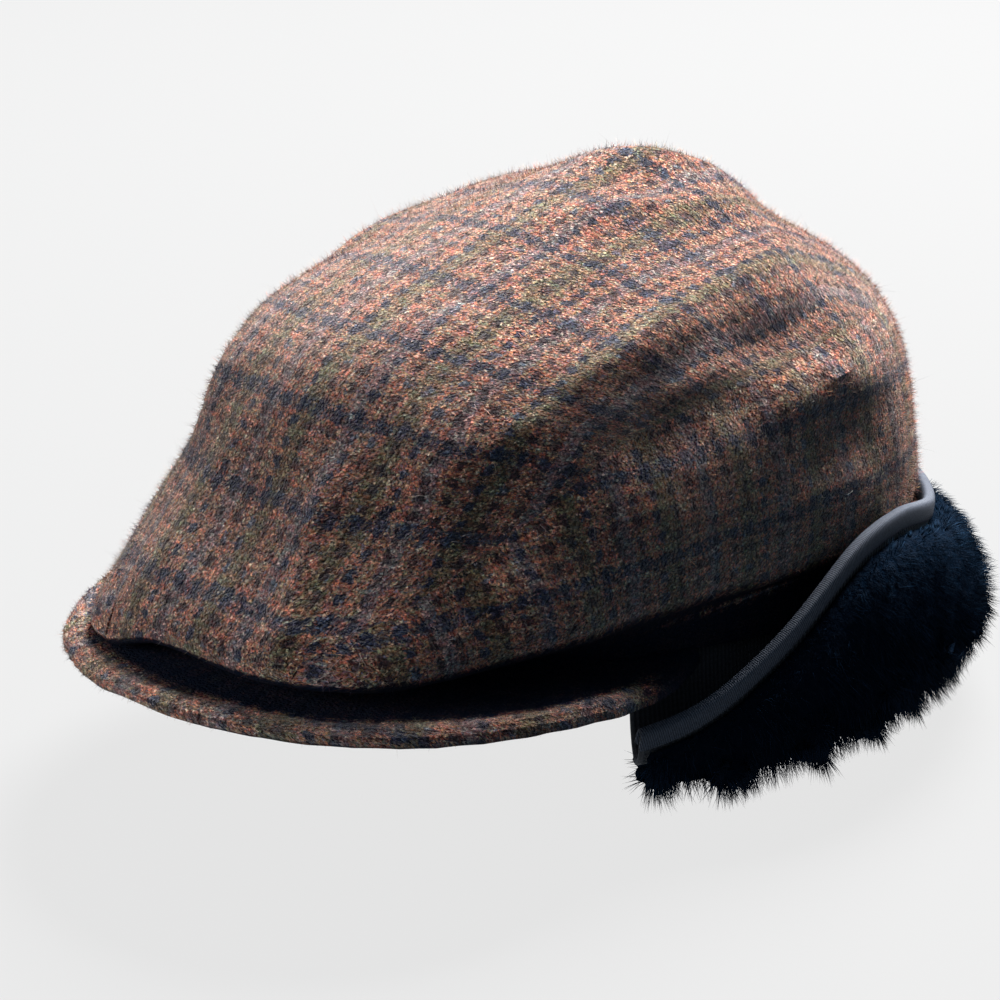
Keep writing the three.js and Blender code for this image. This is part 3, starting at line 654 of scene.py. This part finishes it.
tape_points = [corner.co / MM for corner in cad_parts["earflap_binding"].data.vertices]
rng = np.random.default_rng(FUR_SEED)
fur_finish = make_fur_finish()
for part in range(FUR_PIECES):
    roots, facing = scatter(fur_pile.data, FUR_HAIRS, rng, away)
    wander = np.array([noise.noise_vector(Vector(place) / 14.0) for place in roots])
    which = np.unique(np.floor((roots + 3 * wander) / LOCK_SPACING), axis=0, return_inverse=True)[1].ravel()
    count = np.bincount(which)
    centre = np.stack([np.bincount(which, roots[:, i]) / count for i in range(3)], 1)[which]
    swing = rng.normal(0, 0.16, (len(count), 3))[which] + rng.normal(0, 0.12, roots.shape)
    under = ease(0.1, 0.6, -facing[:, 2])
    comb = np.array([0, 0.45, -1.0]) + facing * facing[:, 2:]
    near_tape = (1 - ease(2.5, 7, edge_distance(roots, tape_points)))[:, None]
    comb = comb * (1 - near_tape) + np.array([0, 0, 0.9]) * near_tape
    aims = unit(0.6 * facing + 0.6 * comb + 0.45 * wander + swing)
    bends = np.array([0, 0, -FUR_DROOP * 0.6]) + (centre - roots) * LOCK_PULL / FUR_LENGTH[1] + 0.2 * wander
    tips = FRINGE_Z + 1.2 * rng.normal(0, 1, len(count))[which] + rng.normal(0, 0.5, FUR_HAIRS)
    fringe = np.clip(roots[:, 2] - tips, *FRINGE) + FUR_SINK * under
    lengths = rng.uniform(*FUR_LENGTH, FUR_HAIRS) * rng.uniform(0.85, 1.1, len(count))[which]
    lengths = lengths * (1 - under) + fringe * under
    tones = (0.5 * rng.random(FUR_HAIRS) + 0.6 * rng.random(len(count))[which]) ** 2
    hairs = grow_hairs(
        f"fur_hairs_{part + 1}", roots - facing * FUR_SINK, aims, bends, lengths, FUR_WIDTH, tones, 2, FLOOR_Z + 0.6
    )
    hairs.data.materials.append(fur_finish)
    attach(hairs, "root")

put_places(fur_pile.data, pile_points - pile_normals * 2.0 * away(pile_points, pile_normals)[:, None])
fur_pile.data.materials.clear()
fur_pile.data.materials.append(make_pile_finish())
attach(fur_pile, "root")
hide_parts("earflap_fur")


# Earflap binding
# Charcoal ribbed tape folded over the earflap's free edge and sewn through, from one end of the
# earflap to the other. Its ribs lie across its length.
TAPE_DARK = (0.017, 0.02, 0.028, 1)
TAPE_LIGHT = (0.078, 0.088, 0.113, 1)
TAPE_RIB = 0.62
TAPE_KNOTS = 9.0  # degrees between the places where the tape's run is measured
TAPE_SLIM = 0.86  # the pressed tape's share of its loose thickness


def tape_run(points):
    """The tape's middle line beside each place, its heading there, and how far along it that is."""
    bearing = np.degrees(np.arctan2(points[:, 0], points[:, 1]))
    bins = np.round(bearing / TAPE_KNOTS).astype(int)
    used = np.unique(bins)
    middle = np.array([points[bins == turn].mean(0) for turn in used])
    run = np.concatenate([[0], np.cumsum(np.linalg.norm(np.diff(middle, axis=0), axis=1))])
    way = unit(np.gradient(middle, axis=0))
    knots = np.array([bearing[bins == turn].mean() for turn in used])
    beside = np.stack([np.interp(bearing, knots, middle[:, i]) for i in range(3)], 1)
    heading = unit(np.stack([np.interp(bearing, knots, way[:, i]) for i in range(3)], 1))
    return beside, heading, np.interp(bearing, knots, run)


def make_tape():
    finish, tree, shader = new_finish("ribbed_tape", Roughness=0.75, Specular_IOR_Level=0.12)
    split = wire(tree, "ShaderNodeSeparateXYZ", {0: wire(tree, "ShaderNodeUVMap", uv_map="grain").outputs[0]})
    rib = maths(tree, "SINE", maths(tree, "MULTIPLY", split.outputs[0], 2 * math.pi / TAPE_RIB))
    place = wire(tree, "ShaderNodeTexCoord").outputs["Object"]
    thread = speckle(tree, place, 1800.0, 2.0, 0.6)
    tree.links.new(dye(tree, slope(tree, maths(tree, "MULTIPLY_ADD", thread, 3.6, rib), 0.2, 3.2), TAPE_DARK, TAPE_LIGHT),
                   shader.inputs["Base Color"])
    bump = wire(tree, "ShaderNodeBump", {"Height": rib, "Strength": 0.4, "Distance": 0.0002})
    tree.links.new(bump.outputs[0], shader.inputs["Normal"])
    return finish


binding_tape, _ = soft_copy("earflap_binding", "binding_tape", 2, 0.4)
tape_places = places(binding_tape.data)
beside, heading, run = tape_run(tape_places)
forward = ((tape_places - beside) * heading).sum(1)
along_tape = beside + heading * forward[:, None]
put_places(binding_tape.data, along_tape + TAPE_SLIM * (tape_places - along_tape))
put_grain(binding_tape.data, run + forward, tape_places[:, 2])
binding_tape.data.materials.clear()
binding_tape.data.materials.append(make_tape())
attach(binding_tape, "root")
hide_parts("earflap_binding")


# Wool nap
# Loose fibres that the brushed tweed sheds from its face: short hairs of the yarn's colours all over
# the crown and the peak, with longer curled ones among them and a few pale specks of lint.
NAP_SEED = 23
# Each cloth's short and curled fibres, and the share of their length that they have there
NAP = (("nap_top", crown_top, top_grain, 46000, 5500, 1.0), ("nap_left", crown_left, side_grain, 16000, 2000, 1.0),
       ("nap_right", crown_right, side_grain, 16000, 2000, 1.0), ("nap_peak", peak_cloth, peak_grain, 7000, 600, 0.6))
SHORT_HAIR = (1.0, 3.2)
SHORT_WIDTH = 0.055
CURL_HAIR = (2.2, 5.0)
CURL_WIDTH = 0.03
STRAYS = 90  # long pale fibres that lie loose on the crown
STRAY_HAIR = (3.0, 7.0)
STRAY_WIDTH = 0.06
LINT_SPECKS = 110
LINT_SPECK = (0.5, 1.4)
LINT_WIDTH = 0.1


def open_face(points, normals):
    return (painted_shade(points, normals) < 0.3).astype(float)


def upper_face(points, normals):
    bearing = np.arctan2(points[:, 0], -points[:, 1])
    near = peak_edge(bearing) - np.hypot(points[:, 0], points[:, 1]) < PEAK_DARK[0]
    near &= np.abs(np.degrees(bearing)) < PEAK_END_SHADE[0]
    return ((normals[:, 2] > -0.5) & near).astype(float)


def fix_nap(piece, grain):
    """Gives every fibre the grain of the cloth at its root, and fixes the fibres to the cap."""
    each = len(piece.data.vertices) // len(grain[0])
    put_grain(piece.data, np.repeat(grain[0], each), np.repeat(grain[1], each))
    put_value(piece.data, "yarn", np.repeat(rng.random(len(grain[0])), each))
    piece.data.materials.append(nap_finish)
    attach(piece, "root")


def lint_face(points, normals):
    low = (points[:, 2] > 16) & (points[:, 2] < 60) & (points[:, 1] > 10)
    return open_face(points, normals) * low


rng = np.random.default_rng(NAP_SEED)
nap_finish = make_tweed("loose_wool", True)
for name, cloth, grain_of, shorts, curls, reach in NAP:
    keep = upper_face if cloth is peak_cloth else open_face
    roots, facing = scatter(cloth.data, shorts, rng, keep)
    aims = unit(facing * 0.75 + rng.normal(0, 0.42, roots.shape))
    lengths = (SHORT_HAIR[0] + (SHORT_HAIR[1] - SHORT_HAIR[0]) * rng.random(shorts) ** 2) * reach
    none = np.zeros(roots.shape)
    short = grow_hairs(name, roots - facing * 0.1, aims, none, lengths, SHORT_WIDTH, rng.random(shorts), 1)
    fix_nap(short, grain_of(roots))
    roots, facing = scatter(cloth.data, curls, rng, keep)
    aims = unit(facing * 0.9 + rng.normal(0, 0.45, roots.shape))
    bends = rng.normal(0, 0.5, roots.shape) - facing * 0.35
    lengths = rng.uniform(*CURL_HAIR, curls) * rng.uniform(0.5, 1.0, curls) * reach
    tones = 0.4 + 0.6 * rng.random(curls)
    curl = grow_hairs(name + "_curls", roots - facing * 0.1, aims, bends, lengths, CURL_WIDTH, tones, 2)
    fix_nap(curl, grain_of(roots))
for name, cloth, grain_of in (("strays_top", crown_top, top_grain), ("strays_left", crown_left, side_grain)):
    roots, facing = scatter(cloth.data, STRAYS, rng, open_face)
    lie = unit(np.cross(facing, rng.normal(0, 1, roots.shape)))
    aims = unit(facing * 0.35 + lie)
    bends = np.cross(facing, lie) * rng.uniform(-0.9, 0.9, STRAYS)[:, None] - facing * 0.3
    lengths = rng.uniform(*STRAY_HAIR, STRAYS)
    strays = grow_hairs(name, roots + facing * 0.5, aims, bends, lengths, STRAY_WIDTH, np.ones(STRAYS), 5)
    fix_nap(strays, grain_of(roots))
roots, facing = scatter(crown_left.data, LINT_SPECKS, rng, lint_face)
aims = unit(facing * 0.4 + rng.normal(0, 0.5, roots.shape))
lengths = rng.uniform(*LINT_SPECK, LINT_SPECKS)
lint = grow_hairs("nap_lint", roots, aims, np.zeros(roots.shape), lengths, LINT_WIDTH, np.ones(LINT_SPECKS), 1)
fix_nap(lint, side_grain(roots))


# Floor, light and camera
# A pale floor under one broad soft light from above and behind, and a little light from all round.
FLOOR_HALF = 4.0
FLOOR_COLOUR = (0.021, 0.021, 0.021, 1)
FLOOR_GLOW = 0.77


def make_floor():
    bm = bmesh.new()
    bmesh.ops.create_grid(bm, x_segments=2, y_segments=2, size=FLOOR_HALF)
    bmesh.ops.translate(bm, verts=bm.verts, vec=(0, 0, FLOOR_Z * MM))
    mesh = bpy.data.meshes.new("floor")
    bm.to_mesh(mesh)
    bm.free()
    finish, _, shader = new_finish("pale_floor", Roughness=0.9, Specular_IOR_Level=0.0)
    shader.inputs["Base Color"].default_value = FLOOR_COLOUR
    shader.inputs["Emission Color"].default_value = (1.0, 1.0, 1.0, 1)
    shader.inputs["Emission Strength"].default_value = FLOOR_GLOW
    mesh.materials.append(finish)
    floor = bpy.data.objects.new("floor", mesh)
    bpy.context.scene.collection.objects.link(floor)
    floor.visible_diffuse = False


def hang_light(name, place, aim, size, watts):
    lamp = bpy.data.lights.new(name, "AREA")
    lamp.shape = "DISK"
    lamp.size = size
    lamp.energy = watts
    light = bpy.data.objects.new(name, lamp)
    light.location = place
    light.rotation_euler = (Vector(aim) - Vector(place)).to_track_quat("-Z", "Y").to_euler()
    bpy.context.scene.collection.objects.link(light)


make_floor()
hang_light("key", (-0.32, 1.03, 1.2), (0, 0, 0.04), 0.9, 170.0)
hang_light("left", (-0.74, -1.34, 0.42), (0, -0.05, 0.04), 0.8, 19.0)
world = bpy.data.worlds.new("studio")
bpy.context.scene.world = world
world.use_nodes = True
world.node_tree.nodes["Background"].inputs["Color"].default_value = (0.55, 0.77, 1.0, 1)
world.node_tree.nodes["Background"].inputs["Strength"].default_value = 0.19

AZIMUTH, ELEVATION = math.radians(43), math.radians(22)
CAMERA_FAR = 0.9
back = Vector((math.sin(AZIMUTH) * math.cos(ELEVATION), -math.cos(AZIMUTH) * math.cos(ELEVATION), math.sin(ELEVATION)))
right = Vector((math.cos(AZIMUTH), math.sin(AZIMUTH), 0))
target = right * -0.0234 + back.cross(right) * 0.0096
lens = bpy.data.cameras.new("camera")
lens.lens = 108
lens.sensor_width = 36
camera = bpy.data.objects.new("camera", lens)
camera.location = target + back * CAMERA_FAR
camera.rotation_euler = back.to_track_quat("Z", "Y").to_euler()
bpy.context.scene.collection.objects.link(camera)
bpy.context.scene.camera = camera
bpy.context.scene.view_settings.view_transform = "Standard"
